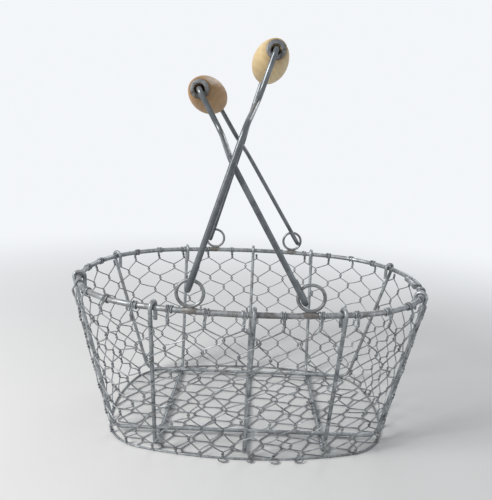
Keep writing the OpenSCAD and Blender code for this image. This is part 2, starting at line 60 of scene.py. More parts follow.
# A grip is drawn a little thinner than in the part's source, as the photo shows it
GRIP_LENGTH, GRIP_DIAMETER, GRIP_END_DIAMETER, GRIP_ROUNDING = 97.1, 28.0, 15.6, 1.2
CAP_DIAMETER, CAP_THICKNESS = 14.0, 1.0

# The netting's unevenness: one kind of noise for each value that is set off its regular place
COLUMN_NOISE, HEIGHT_NOISE, BOW_NOISE, BASE_LINE_NOISE, BASE_ROW_NOISE = 1, 2, 3, 4, 5
TIE_NOISE, CURL_SIZE_NOISE, CURL_SIDE_NOISE = 6, 8, 9
NOISE_STEPS, NOISE_SCALE = (12.9898, 78.233, 37.719), 43758.5453


def cosd(angle):
    return cos(radians(angle))


def sind(angle):
    return sin(radians(angle))


def unevenness(a, b, kind):
    """A fixed number from -1 to 1, which sets one twist or wire end a little off its regular place"""
    value = sin(a * NOISE_STEPS[0] + b * NOISE_STEPS[1] + kind * NOISE_STEPS[2]) * NOISE_SCALE
    return 2 * (value - floor(value)) - 1


# The oval of the rim and of the base: eight tangent arcs
def oval(half_length, half_width, corner):
    """Half length, half width and the radii of an end, a corner and a side"""
    ca, sa, cb, sb = cosd(END_TURN), sind(END_TURN), cosd(CORNER_TURN), sind(CORNER_TURN)
    u = -half_length + corner * (ca - cb)
    v = half_width + corner * (sa - sb)
    det = (ca - 1) * (1 - sb) + cb * sa
    return [half_length, half_width, (u * (1 - sb) + cb * v) / det, corner, ((ca - 1) * v - sa * u) / det]


def grown(shape, by):
    return [size + by for size in shape]


def mixed(shape, other, share):
    return [a * (1 - share) + b * share for a, b in zip(shape, other)]


def oval_point(shape, turn):
    """Point of an oval whose outward direction is turned from +X by an angle"""
    across, down = cosd(turn), sind(turn)
    quarter = degrees(atan2(abs(down), abs(across)))
    out = Vector((cosd(quarter), sind(quarter)))
    end = Vector((shape[0] - shape[2], 0))
    corner = end + (shape[2] - shape[3]) * Vector((cosd(END_TURN), sind(END_TURN)))
    if quarter < END_TURN:
        point = end + shape[2] * out
    elif quarter < CORNER_TURN:
        point = corner + shape[3] * out
    else:
        point = Vector((0, shape[1] - shape[4])) + shape[4] * out
    return Vector((point.x if across >= 0 else -point.x, point.y if down >= 0 else -point.y, 0))


def quarter_runs(shape):
    """Lengths of the half end, the corner and the half side in one quarter of an oval"""
    return (radians(END_TURN) * shape[2], radians(CORNER_TURN - END_TURN) * shape[3],
            radians(90 - CORNER_TURN) * shape[4])


def quarter_turn(shape, run):
    """Outward direction at a run along the first quarter of an oval"""
    end, corner, _ = quarter_runs(shape)
    if run < end:
        return degrees(run / shape[2])
    if run < end + corner:
        return END_TURN + degrees((run - end) / shape[3])
    return CORNER_TURN + degrees((run - end - corner) / shape[4])


def oval_turn(shape, fraction):
    """Outward direction at a fraction of the way round an oval, from +X towards +Y"""
    f = 4 * (fraction - floor(fraction))
    quarter = sum(quarter_runs(shape))
    if f < 1:
        return quarter_turn(shape, f * quarter)
    if f < 2:
        return 180 - quarter_turn(shape, (2 - f) * quarter)
    if f < 3:
        return 180 + quarter_turn(shape, (f - 2) * quarter)
    return 360 - quarter_turn(shape, (4 - f) * quarter)


def outside(shape, point):
    """Distance of a point outside an oval, negative inside"""
    x, y = abs(point[0]), abs(point[1])
    end_x = shape[0] - shape[2]
    side_y = shape[1] - shape[4]
    if degrees(atan2(y, x - end_x)) < END_TURN:
        return hypot(x - end_x, y) - shape[2]
    if degrees(atan2(y - side_y, x)) > CORNER_TURN:
        return hypot(x, y - side_y) - shape[4]
    corner_x = end_x + (shape[2] - shape[3]) * cosd(END_TURN)
    corner_y = (shape[2] - shape[3]) * sind(END_TURN)
    return hypot(x - corner_x, y - corner_y) - shape[3]


def outward(turn):
    return Vector((cosd(turn), sind(turn), 0))


def alongside(turn):
    return Vector((-sind(turn), cosd(turn), 0))


RIM = oval(RIM_HALF_LENGTH, RIM_HALF_WIDTH, RIM_CORNER)
BASE = oval(BASE_HALF_LENGTH, BASE_HALF_WIDTH, BASE_CORNER)
HOOK_RADIUS = (RIM_WIRE + RIB_WIRE) / 2 + HOOK_GAP
RIM_NET = grown(RIM, HOOK_RADIUS + (RIB_WIRE + NET_WIRE) / 2 + 2 * LIE_GAP)
NET_TOP = RIM_HEIGHT - RIM_WIRE - NET_WIRE
NET_FOOT = EDGE_WIRE + LIE_GAP
WALL_TILT = degrees(atan((RIM_NET[1] - BASE[1]) / RIM_HEIGHT))
TWIST_DROP = TWIST_LENGTH * cosd(WALL_TILT)
ROW_DROP = (NET_TOP - NET_FOOT - TWIST_DROP) / (NET_ROWS - 1)
CROSS_RIB_Z = RIB_UNDERSIDE + RIB_WIRE / 2
# The middle of the front wall, as a fraction of the way round the oval
FRONT_MIDDLE = 0.75
# The front wall's netting was pulled out of true: columns sideways (in columns), rows down (in millimetres)
FRONT_DRIFT, DRIFT_MIDDLE, DRIFT_REACH = 0.5, 2.4, 5.5
FRONT_SAG, LEFT_SAG_SHARE, SAG_START, SAG_WAVE = 5.5, 0.5, -0.6, 5.4


def wall_turn(column, z):
    """Outward direction of the netting's wall at a column and a height"""
    lean = NET_LEAN * (RIM_HEIGHT - z) / RIM_HEIGHT - drift_at(column, z)
    shape = mixed(BASE, RIM_NET, z / RIM_HEIGHT)
    return oval_turn(shape, FRONT_MIDDLE + (column + NET_PHASE + lean) / NET_COLUMNS)


def from_front(column):
    """Columns from the middle of the front wall, to the right of it positive"""
    return (column + NET_COLUMNS / 2) % NET_COLUMNS - NET_COLUMNS / 2


def drift_at(column, z):
    """How far the front wall's netting was pulled to the left, most low down, right of the middle"""
    off = from_front(column) - DRIFT_MIDDLE
    if abs(off) > DRIFT_REACH:
        return 0
    return FRONT_DRIFT * cosd(90 * off / DRIFT_REACH) ** 2 * sind(90 * (1 - z / RIM_HEIGHT)) ** 2


def sag_at(column, row):
    """How far a twist of the front wall hangs below its row: less than 0 left of the middle"""
    off = from_front(column) - SAG_START
    if abs(off) > SAG_WAVE:
        return 0
    share = 1.0 if off > 0 else LEFT_SAG_SHARE
    return FRONT_SAG * share * sind(180 * off / SAG_WAVE) * sind(180 * row / (NET_ROWS - 1))


def wall_point(column, z, shift, out):
    """A point of the netting's wall, shifted along the wall and out of it"""
    turn = wall_turn(column, z)
    point = oval_point(mixed(BASE, RIM_NET, z / RIM_HEIGHT), turn)
    face = Vector((cosd(turn) * cosd(WALL_TILT), sind(turn) * cosd(WALL_TILT), -sind(WALL_TILT)))
    return Vector((point.x, point.y, z)) + alongside(turn) * shift + face * out


# Where the photograph was taken from: place in metres, angles in degrees, lens in millimetres
CAMERA_SPOT = (0.00084, -0.42367, 0.23434)
CAMERA_AZIMUTH, CAMERA_ELEVATION, CAMERA_ROLL = 0.9975, 11.707, 2.7138
CAMERA_LENS, CAMERA_SHIFT_X, CAMERA_SHIFT_Y, NEAREST_SEEN = 36.328, -0.0335, -0.0012, 0.02


def photo_camera():
    ahead = Vector((sind(CAMERA_AZIMUTH) * cosd(CAMERA_ELEVATION),
                    cosd(CAMERA_AZIMUTH) * cosd(CAMERA_ELEVATION), -sind(CAMERA_ELEVATION)))
    level = Vector((cosd(CAMERA_AZIMUTH), -sind(CAMERA_AZIMUTH), 0))
    rise = level.cross(ahead)
    right = level * cosd(CAMERA_ROLL) + rise * sind(CAMERA_ROLL)
    up = rise * cosd(CAMERA_ROLL) - level * sind(CAMERA_ROLL)
    lens = bpy.data.cameras.new("photo_camera")
    lens.lens = CAMERA_LENS
    lens.shift_x = CAMERA_SHIFT_X
    lens.shift_y = CAMERA_SHIFT_Y
    lens.clip_start = NEAREST_SEEN
    camera = bpy.data.objects.new("photo_camera", lens)
    bpy.context.scene.collection.objects.link(camera)
    camera.matrix_world = Matrix([*zip(right, up, -ahead, CAMERA_SPOT), (0, 0, 0, 1)])
    bpy.context.scene.camera = camera


# Shader nodes
def place_node(tree, kind, settings=None, values=None):
    """A node with its settings and the values of its inputs, which may also be other nodes' outputs"""
    made = tree.nodes.new(kind)
    for name, value in (settings or {}).items():
        setattr(made, name, value)
    for name, value in (values or {}).items():
        if isinstance(value, bpy.types.NodeSocket):
            tree.links.new(value, made.inputs[name])
        else:
            made.inputs[name].default_value = value
    return made


def noise(tree, place, scale, detail, roughness=0.5):
    made = place_node(tree, "ShaderNodeTexNoise", None,
                      {"Vector": place, "Scale": scale, "Detail": detail, "Roughness": roughness})
    return made.outputs["Fac"]


def stretched_range(tree, value, low, high, to_low=0.0, to_high=1.0):
    """A value whose range from low to high is stretched to another one and ends there"""
    made = place_node(tree, "ShaderNodeMapRange", None,
                      {"Value": value, "From Min": low, "From Max": high, "To Min": to_low,
                       "To Max": to_high})
    return made.outputs["Result"]


def scaled(tree, value, factor, plus=0.0, clamp=False):
    made = place_node(tree, "ShaderNodeMath", {"operation": "MULTIPLY_ADD", "use_clamp": clamp},
                      {0: value, 1: factor, 2: plus})
    return made.outputs[0]


def blend(tree, share, first, second):
    """The colour at a share of the way from one colour to another"""
    made = place_node(tree, "ShaderNodeMix", {"data_type": "RGBA"}, {0: share, 6: first, 7: second})
    return made.outputs[2]


def new_group(name, inputs, outputs):
    group = bpy.data.node_groups.new(name, "ShaderNodeTree")
    for label, kind, value in inputs:
        socket = group.interface.new_socket(label, in_out="INPUT", socket_type=kind)
        if value is not None:
            socket.default_value = value
    for label, kind in outputs:
        group.interface.new_socket(label, in_out="OUTPUT", socket_type=kind)
    return group, group.nodes.new("NodeGroupInput"), group.nodes.new("NodeGroupOutput")


# Studio: a pale floor that fades into the background, a window-like key lamp and two fills
BACKGROUND = (0.90, 0.92, 0.95, 1)
ROOM_COLOUR, ROOM_STRENGTH = (0.92, 0.96, 1.0, 1), 0.30
FLOOR_COLOUR, FLOOR_RADIUS, FLOOR_DROP = (0.80, 0.80, 0.80, 1), 6.0, 0.0001
FADE_START, FADE_END = 0.16, 0.95


def place_lamp(name, spot, aim, width, height, watts, colour):
    bpy.ops.object.light_add(type="AREA", location=spot)
    lamp = bpy.context.object
    lamp.name = name
    lamp.data.shape = "RECTANGLE"
    lamp.data.size = width
    lamp.data.size_y = height
    lamp.data.energy = watts
    lamp.data.color = colour
    lamp.rotation_euler = (Vector(aim) - Vector(spot)).to_track_quat("-Z", "Y").to_euler()


def seen_directly(tree):
    """1 on camera, glossy and transmission rays, 0 on the rays that light the basket"""
    path = place_node(tree, "ShaderNodeLightPath")
    seen = path.outputs["Is Camera Ray"]
    for ray in ("Is Glossy Ray", "Is Transmission Ray"):
        larger = place_node(tree, "ShaderNodeMath", {"operation": "MAXIMUM"}, {0: seen, 1: path.outputs[ray]})
        seen = larger.outputs[0]
    return seen


def room_light():
    """Light from all round, apart from the background that is seen"""
    world = bpy.data.worlds.new("studio_light")
    bpy.context.scene.world = world
    world.use_nodes = True
    tree = world.node_tree
    tree.nodes.clear()
    room = place_node(tree, "ShaderNodeBackground", None, {"Color": ROOM_COLOUR, "Strength": ROOM_STRENGTH})
    seen = place_node(tree, "ShaderNodeBackground", None, {"Color": BACKGROUND, "Strength": 1.0})
    mix = place_node(tree, "ShaderNodeMixShader", None,
                     {0: seen_directly(tree), 1: room.outputs[0], 2: seen.outputs[0]})
    place_node(tree, "ShaderNodeOutputWorld", None, {"Surface": mix.outputs[0]})


def pale_floor():
    """A floor that takes the basket's shadow and fades into the background further out"""
    bpy.ops.mesh.primitive_circle_add(vertices=96, radius=FLOOR_RADIUS, fill_type="NGON",
                                      location=(0, 0, -FLOOR_DROP))
    ground = bpy.context.object
    ground.name = "floor"
    material = bpy.data.materials.new("pale_floor")
    material.use_nodes = True
    tree = material.node_tree
    tree.nodes.clear()
    paint = place_node(tree, "ShaderNodeBsdfDiffuse", None, {"Color": FLOOR_COLOUR})
    glow = place_node(tree, "ShaderNodeEmission", None, {"Color": BACKGROUND})
    place = place_node(tree, "ShaderNodeTexCoord")
    distance = place_node(tree, "ShaderNodeVectorMath", {"operation": "LENGTH"}, {0: place.outputs["Object"]})
    fade = place_node(tree, "ShaderNodeMapRange", {"interpolation_type": "SMOOTHSTEP"},
                      {"Value": distance.outputs["Value"], "From Min": FADE_START, "From Max": FADE_END})
    mix = place_node(tree, "ShaderNodeMixShader", None,
                     {0: scaled(tree, fade.outputs["Result"], seen_directly(tree)),
                      1: paint.outputs[0], 2: glow.outputs[0]})
    place_node(tree, "ShaderNodeOutputMaterial", None, {"Surface": mix.outputs[0]})
    ground.data.materials.append(material)


def studio():
    room_light()
    place_lamp("window_lamp", spot=(-0.80, -0.50, 0.70), aim=(0, 0, 0.13), width=0.35, height=0.45,
               watts=11.0, colour=(1.0, 0.985, 0.96))
    place_lamp("fill_lamp", spot=(0.85, -0.45, 0.35), aim=(0, 0, 0.12), width=0.4, height=0.5,
               watts=0.8, colour=(0.93, 0.96, 1.0))
    place_lamp("back_lamp", spot=(0.25, 0.85, 0.75), aim=(0, 0, 0.12), width=0.5, height=0.4,
               watts=2.0, colour=(0.96, 0.98, 1.0))
    pale_floor()
    bpy.context.scene.view_settings.view_transform = "Standard"


# Finishes: shares of each pattern in the zinc, and where along Y the rim browns towards the front, in metres
FACET_SHARE, CLOUD_SHARE, SPECK_SHARE, GRAIN_SHARE, DIRT_ROUGHENS = 0.35, 0.65, 0.5, 0.5, 0.35
BROWN_FROM_Y, BROWN_FULL_Y = 0.02, -0.10


def zinc_group():
    """Hot-dipped zinc on wire: spangle, cloudy dull patches, dirt and a fine grain"""
    colour, number, vector = "NodeSocketColor", "NodeSocketFloat", "NodeSocketVector"
    group, given, made = new_group("weathered_zinc", [
        ("Place", vector, None), ("Bright", colour, (0.4, 0.4, 0.4, 1)), ("Dull", colour, (0.2, 0.2, 0.2, 1)),
        ("Dirt", colour, (0.2, 0.12, 0.07, 1)), ("Dirt amount", number, 0.3), ("Spangle size", number, 600.0),
        ("Smoothest", number, 0.25), ("Roughest", number, 0.5)],
        [("Colour", colour), ("Roughness", number), ("Height", number)])
    place = given.outputs["Place"]
    clouds = noise(group, place, scale=110.0, detail=5.0, roughness=0.6)
    spangle = place_node(group, "ShaderNodeTexVoronoi", None,
                         {"Vector": place, "Scale": given.outputs["Spangle size"], "Randomness": 1.0})
    facet = place_node(group, "ShaderNodeSeparateColor", None, {"Color": spangle.outputs["Color"]})
    cloudy = stretched_range(group, clouds, low=0.34, high=0.66)
    brightness = scaled(group, facet.outputs["Red"], FACET_SHARE, plus=scaled(group, cloudy, CLOUD_SHARE))
    zinc = blend(group, brightness, given.outputs["Dull"], given.outputs["Bright"])
    patches = noise(group, place, scale=48.0, detail=8.0, roughness=0.7)
    specks = noise(group, place, scale=420.0, detail=4.0)
    speckled = scaled(group, specks, SPECK_SHARE, plus=patches)
    dirty = stretched_range(group, speckled, low=0.72, high=0.92)
    dirt = scaled(group, dirty, given.outputs["Dirt amount"], clamp=True)
    coated = blend(group, dirt, zinc, given.outputs["Dirt"])
    matt = stretched_range(group, brightness, 0.0, 1.0, given.outputs["Roughest"], given.outputs["Smoothest"])
    roughness = scaled(group, dirt, DIRT_ROUGHENS, plus=matt, clamp=True)
    grain = noise(group, place, scale=2600.0, detail=3.0)
    group.links.new(coated, made.inputs["Colour"])
    group.links.new(roughness, made.inputs["Roughness"])
    group.links.new(scaled(group, grain, GRAIN_SHARE, plus=brightness), made.inputs["Height"])
    return group


def zinc_finish(name, group, bright, dull, dirt, dirt_amount, spangle, smoothest, roughest, relief, metallic,
                front_browning=0.0):
    """A galvanised wire; the last value, if given, browns it more and more towards the front, at negative Y
    """
    material = bpy.data.materials.new(name)
    material.use_nodes = True
    tree = material.node_tree
    shader = tree.nodes["Principled BSDF"]
    shader.inputs["Metallic"].default_value = metallic
    place = place_node(tree, "ShaderNodeTexCoord").outputs["Object"]
    zinc = place_node(tree, "ShaderNodeGroup", {"node_tree": group}, {
        "Place": place, "Bright": bright + (1,), "Dull": dull + (1,), "Dirt": dirt + (1,),
        "Dirt amount": dirt_amount, "Spangle size": spangle, "Smoothest": smoothest, "Roughest": roughest})
    # Browner towards the front: more of the brown patches, the further along negative Y
    if front_browning:
        split = place_node(tree, "ShaderNodeSeparateXYZ", None, {"Vector": place})
        towards_front = stretched_range(tree, split.outputs["Y"], BROWN_FROM_Y, BROWN_FULL_Y, dirt_amount, front_browning)
        tree.links.new(towards_front, zinc.inputs["Dirt amount"])
    bump = place_node(tree, "ShaderNodeBump", None,
                      {"Height": zinc.outputs["Height"], "Strength": relief, "Distance": 0.0002})
    tree.links.new(zinc.outputs["Colour"], shader.inputs["Base Color"])
    tree.links.new(zinc.outputs["Roughness"], shader.inputs["Roughness"])
    tree.links.new(bump.outputs["Normal"], shader.inputs["Normal"])
    return material


# The wood: shares of its patterns, and how far from its middle painted shade darkens a grip towards its ends,
# in metres
FLECK_COLOUR, END_SHADE_COLOUR = (0.20, 0.11, 0.05, 1), (0.25, 0.16, 0.09, 1)
FIBRE_SHARE, YEAR_RING_SHARE, LATHE_SHARE = 0.5, 0.16, 0.5
END_SHADE_FROM, END_SHADE_TO, END_SHADE_WOBBLE = 0.044, 0.058, 0.012


def grip_wood(name, pith, pale, dark):
    """Turned beech: year rings about a pith outside the grip, fibres and flecks along it, and painted shade
    darkening both ends
    """
    material = bpy.data.materials.new(name)
    material.use_nodes = True
    tree = material.node_tree
    shader = tree.nodes["Principled BSDF"]
    shader.inputs["Specular IOR Level"].default_value = 0.22
    place = place_node(tree, "ShaderNodeTexCoord").outputs["Object"]
    centred = place_node(tree, "ShaderNodeMapping", None,
                         {"Vector": place, "Location": [-v * MM for v in pith]})
    stretched = place_node(tree, "ShaderNodeMapping", None,
                           {"Vector": centred.outputs["Vector"], "Scale": (1.0, 0.06, 1.0)})
    lengthwise = stretched.outputs["Vector"]
    rings = place_node(tree, "ShaderNodeTexWave", {"wave_type": "RINGS", "rings_direction": "Y"},
                       {"Vector": lengthwise, "Scale": 90.0, "Distortion": 5.0, "Detail": 3.0,
                        "Detail Scale": 1.2})
    fibres = noise(tree, lengthwise, scale=1500.0, detail=4.0)
    year_rings = scaled(tree, rings.outputs["Fac"], YEAR_RING_SHARE)
    grain = scaled(tree, fibres, FIBRE_SHARE, plus=year_rings)
    timber = blend(tree, grain, pale + (1,), dark + (1,))
    flecks = noise(tree, lengthwise, scale=900.0, detail=2.0, roughness=0.8)
    flecked = blend(tree, stretched_range(tree, flecks, 0.60, 0.72, to_high=0.35), timber, FLECK_COLOUR)
    # Painted shade: a grip darkens towards both ends, over an edge made uneven by noise
    split = place_node(tree, "ShaderNodeSeparateXYZ", None, {"Vector": place})
    from_middle = place_node(tree, "ShaderNodeMath", {"operation": "ABSOLUTE"}, {0: split.outputs["Y"]})
    end_shade_noise = noise(tree, place, scale=70.0, detail=5.0)
    uneven_end = scaled(tree, end_shade_noise, END_SHADE_WOBBLE, plus=from_middle.outputs[0])
    end_shade = stretched_range(tree, uneven_end, END_SHADE_FROM, END_SHADE_TO, to_high=0.55)
    lathe = place_node(tree, "ShaderNodeTexWave", {"bands_direction": "Y"},
                       {"Vector": place, "Scale": 260.0, "Distortion": 0.6})
    relief = scaled(tree, lathe.outputs["Fac"], LATHE_SHARE, plus=grain)
    bump = place_node(tree, "ShaderNodeBump", None, {"Height": relief, "Strength": 0.35, "Distance": 0.0003})
    # Base colour: the flecked timber, with the painted shade at both ends
    tree.links.new(blend(tree, end_shade, flecked, END_SHADE_COLOUR), shader.inputs["Base Color"])
    tree.links.new(stretched_range(tree, grain, 0.0, 1.0, 0.42, 0.66), shader.inputs["Roughness"])
    tree.links.new(bump.outputs["Normal"], shader.inputs["Normal"])
    return material


# Edges sharper than this angle stay sharp, on bent wires and on turned pieces
WIRE_SHARP_ANGLE, TURNED_SHARP_ANGLE = 50, 38


# Pieces of bent wire
def bent_wires(name, runs, thickness, body, nodes, finish):
    """Wires of one thickness along runs of points in millimetres, made one mesh and hung on a body"""
    curve = bpy.data.curves.new(name, "CURVE")
    curve.dimensions = "3D"
    curve.bevel_depth = thickness / 2 * MM
    curve.bevel_resolution = 1
    curve.use_fill_caps = True
    for run in runs:
        spline = curve.splines.new("NURBS")
        spline.points.add(len(run) - 1)
        for knot, point in zip(spline.points, run):
            knot.co = (point[0] * MM, point[1] * MM, point[2] * MM, 1)
        spline.order_u = 3
        spline.use_endpoint_u = True
        spline.resolution_u = 2
    piece = bpy.data.objects.new(name, curve)
    bpy.context.scene.collection.objects.link(piece)
    bpy.ops.object.select_all(action="DESELECT")
    piece.select_set(True)
    bpy.context.view_layer.objects.active = piece
    bpy.ops.object.convert(target="MESH")
    piece = bpy.context.object
    piece.name = name
    bpy.ops.object.mode_set(mode="EDIT")
    bpy.ops.mesh.select_all(action="SELECT")
    bpy.ops.mesh.normals_make_consistent(inside=False)
    bpy.ops.object.mode_set(mode="OBJECT")
    bpy.ops.object.shade_smooth_by_angle(angle=radians(WIRE_SHARP_ANGLE))
    piece.data.materials.clear()
    piece.data.materials.append(finish)
    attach(piece, body)
    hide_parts(*nodes)


# The walls' netting: points in a twist, how its two wires lie, and how far it strays from its place
TWIST_STEPS, TOP_TWIST_TURNS = 8, 2
TWIST_GAP, TWIST_EYE, TWIST_INWARD = 0.55, 0.4, 0.2
COLUMN_SCATTER, TOP_COLUMN_SCATTER, HEIGHT_SCATTER = 0.11, 0.02, 1.5
BOW, NEAR_TWIST = 0.6, 0.1
# The wires' ends at the base: angles of the hook over the edge wire, then of the flat curls at the front
FOOT_HOOK_ANGLES, CURL_ANGLES = (60, 30, 5), (20, 75, 130, 185, 240, 290)
CURL_RADIUS, CURL_SCATTER, CURL_STRETCH = 2.1, 0.25, 1.6
CURL_LIFT, CURL_RISE = NET_WIRE / 2 + 0.1, 0.004
FIRST_CURL, LAST_CURL = -0.5, 3.5


def twist_at(line, row):
    """Column and top of one twist of the wall's netting, a little off its regular place"""
    wrapped = line % (2 * NET_COLUMNS)
    scatter = COLUMN_SCATTER if row else TOP_COLUMN_SCATTER
    column = line / 2 + scatter * unevenness(wrapped, row, COLUMN_NOISE)
    if not 0 < row < NET_ROWS - 1:
        return column, NET_TOP - row * ROW_DROP
    strayed = HEIGHT_SCATTER * unevenness(wrapped, row, HEIGHT_NOISE)
    return column, NET_TOP - row * ROW_DROP - sag_at(column, row) + strayed


def line_and_side(k, row):
    """Which line of twists a wire is in, and on which side of its neighbour"""
    line = k + (k + row) % 2
    return line, 1 if line == k else -1


def wall_strand(k):
    """One wire of the wall's netting: in each twist it winds round its neighbour"""
    points = []
    for row in range(NET_ROWS):
        line, side = line_and_side(k, row)
        column, top = twist_at(line, row)
        if points:
            start, end = points[-1], wall_point(column, top, side * TWIST_GAP, 0)
            bow = Vector((0, 0, BOW * unevenness(k, row, BOW_NOISE)))
            points.append(start.lerp(end, NEAR_TWIST) + bow * NEAR_TWIST)
            points.append(start.lerp(end, 0.5) + bow)
            points.append(end.lerp(start, NEAR_TWIST) + bow * NEAR_TWIST)
        turns = 1 if row else TOP_TWIST_TURNS
        steps = TWIST_STEPS * turns
        for i in range(steps + 1):
            angle = 360 * turns * i / steps
            across = (TWIST_GAP + TWIST_EYE * sind(angle / 2) ** 2) * cosd(angle)
            points.append(wall_point(column, top - TWIST_DROP * i / steps, side * across,
                                     side * TWIST_GAP * sind(angle) - TWIST_INWARD))
    return points + foot_hook(k)


def foot_hook(k):
    """The wire's end, bent over the edge wire of the base; a few along the front are left in a flat curl"""
    line, side = line_and_side(k, NET_ROWS - 1)
    column, _ = twist_at(line, NET_ROWS - 1)
    turn = wall_turn(column, 0)
    out, along = outward(turn), alongside(turn)
    middle = oval_point(BASE, turn) + along * side * TWIST_GAP
    radius = (EDGE_WIRE + NET_WIRE) / 2
    hook = [middle + out * (side * radius * cosd(a)) + Vector((0, 0, EDGE_WIRE / 2 + radius * sind(a)))
            for a in FOOT_HOOK_ANGLES]
    if side < 0 or not FIRST_CURL < from_front(column) < LAST_CURL:
        return hook
    size = CURL_RADIUS * (1 + CURL_SCATTER * unevenness(line, side, CURL_SIZE_NOISE))
    across = along * (CURL_STRETCH if unevenness(line, side, CURL_SIDE_NOISE) > 0 else -CURL_STRETCH)
    centre = middle + out * (radius + size) + Vector((0, 0, CURL_LIFT))
    return hook + [centre + (across * sind(a) - out * cosd(a)) * size + Vector((0, 0, CURL_RISE * a))
                   for a in CURL_ANGLES]


# The base's netting lies between the ground and the ribs
BASE_NET_WIRE, BASE_TWIST_GAP, BASE_TWIST_LIFT = 0.9, 0.5, 0.34
BASE_NET_Z = BASE_NET_WIRE / 2 + BASE_TWIST_LIFT
BASE_LINE_SCATTER, BASE_ROW_SCATTER = 0.7, 0.5
BASE_EDGE_MARGIN, MEETING_HALVINGS = 0.3, 12


def base_point(across, down, z):
    c, s = cosd(BASE_NET_ANGLE), sind(BASE_NET_ANGLE)
    return Vector((across * c + down * s, across * s - down * c, z))


def base_strand(k):
    """One wire of the base's netting, twisted flatter because it's pressed between ground and ribs"""
    inner = grown(BASE, -(EDGE_WIRE + NET_WIRE) / 2 - LIE_GAP)
    rows = ceil(2 * BASE_HALF_LENGTH / BASE_ROW_PITCH / 2)
    points = []
    for row in range(-rows, rows + 1):
        line, side = line_and_side(k, row)
        across = line * BASE_PITCH / 2 + BASE_LINE_SCATTER * unevenness(line, row, BASE_LINE_NOISE)
        along = row * BASE_ROW_PITCH + BASE_ROW_SCATTER * unevenness(line, row, BASE_ROW_NOISE)
        if points:
            start = points[-1]
            end = base_point(across + side * BASE_TWIST_GAP, along - TWIST_LENGTH / 2, BASE_NET_Z)
            points += [start.lerp(end, share) for share in (NEAR_TWIST, 0.5, 1 - NEAR_TWIST)]
        for i in range(TWIST_STEPS + 1):
            angle = 360 * i / TWIST_STEPS
            points.append(base_point(across + side * BASE_TWIST_GAP * cosd(angle),
                                     along + TWIST_LENGTH * (i / TWIST_STEPS - 0.5),
                                     BASE_NET_Z + side * BASE_TWIST_LIFT * sind(angle)))
    inside = [i for i, point in enumerate(points) if outside(inner, point) < -BASE_EDGE_MARGIN]
    if not inside:
        return []
    first, last = inside[0], inside[-1]
    return [meeting(inner, points[first], points[first - 1])] + points[first:last + 1] \
        + [meeting(inner, points[last], points[last + 1])]


def meeting(shape, inner, outer):
    """Where a wire that runs from an inside point to an outside one meets an oval"""
    for _ in range(MEETING_HALVINGS):
        middle = (inner + outer) / 2
        if outside(shape, middle) < 0:
            inner = middle
        else:
            outer = middle
    return inner


# Share of the wall's wires that are in one long side, and wires that the base's rounding leaves out
SIDE_SHARE, BASE_ROUNDED_OFF = 0.29, 0.7


def make_netting(finish):
    side_strands = 2 * floor(NET_COLUMNS * SIDE_SHARE)
    end_strands = NET_COLUMNS - side_strands
    starts = {
        "front": (2 * NET_COLUMNS - side_strands // 2, side_strands),
        "right_end": (side_strands // 2, end_strands),
        "back": (NET_COLUMNS - side_strands // 2, side_strands),
        "left_end": (NET_COLUMNS + side_strands // 2, end_strands)}
    for wall, (first, count) in starts.items():
        bent_wires(wall + "_netting", [wall_strand(k) for k in range(first, first + count)], NET_WIRE,
                   "basket", ["netting_" + wall], finish)
    across = floor(2 * BASE_HALF_LENGTH / BASE_PITCH / cosd(BASE_NET_ANGLE) - BASE_ROUNDED_OFF)
    runs = [base_strand(k) for k in range(-across, across)]
    bent_wires("base_netting", [run for run in runs if len(run) > 3], BASE_NET_WIRE,
               "basket", ["netting_base"], finish)


def turn_at_x(shape, x):
    corner_x = shape[0] - shape[2] + (shape[2] - shape[3]) * cosd(END_TURN)
    side = degrees(acos(x / shape[4]))
    corner = degrees(acos(max(-1, min(1, (x - corner_x) / shape[3]))))
    return side if side > CORNER_TURN else corner


def turn_at_y(shape, y):
    corner_y = (shape[2] - shape[3]) * sind(END_TURN)
    end = degrees(atan2(y, sqrt(shape[2] ** 2 - y ** 2)))
    v = (y - corner_y) / shape[3]
    corner = degrees(atan2(v, sqrt(1 - v * v)))
    return end if end < END_TURN else corner


# Room that a ring and the rim's lap need between ties, and where the lap's middle is
RING_ROOM, LAP_ROOM, LAP_TURN = 5.4, 23.0, 1.2
# The ties: turns round the rim, where they start, how far they lie along the rim and how they leave the twist
TIE_TURNS, TIE_TURNS_SCATTER, STEPS_A_TURN, TIE_FIRST_ANGLE = 1.4, 0.35, 12, -25
TIE_FIRST_OFFSET, TIE_PITCH, TIE_OVERLAP, TIE_BULGE = 0.55, 1.12, 1.5, 0.25
LACING_STEPS_A_TURN = 16


def held_places():
    """Where on the rim a rib's hook, a ring or the lap sits, so that no tie lands there"""
    turns = []
    for x in (-LEFT_RIB_X, 0, RIGHT_RIB_X):
        for i, lean in enumerate(RIB_LEAN):
            top = x + lean
            turn = turn_at_x(RIM, abs(top))
            if top < 0:
                turns.append(180 + turn if i == 0 else 180 - turn)
            else:
                turns.append(-turn if i == 0 else turn)
    turns += [180 + turn_at_y(RIM, FRONT_HOOK_Y[0]), -turn_at_y(RIM, FRONT_HOOK_Y[1]),
              180 - turn_at_y(RIM, BACK_HOOK_Y[0]), turn_at_y(RIM, BACK_HOOK_Y[1])]
    places = [(oval_point(RIM, turn), RIB_WIRE + NET_WIRE) for turn in turns]
    places += [(Vector((x, y, 0)), RING_ROOM) for x in (-RING_X, RING_X) for y in (-RING_Y, RING_Y)]
    return places + [(oval_point(RIM, LAP_TURN), LAP_ROOM)]


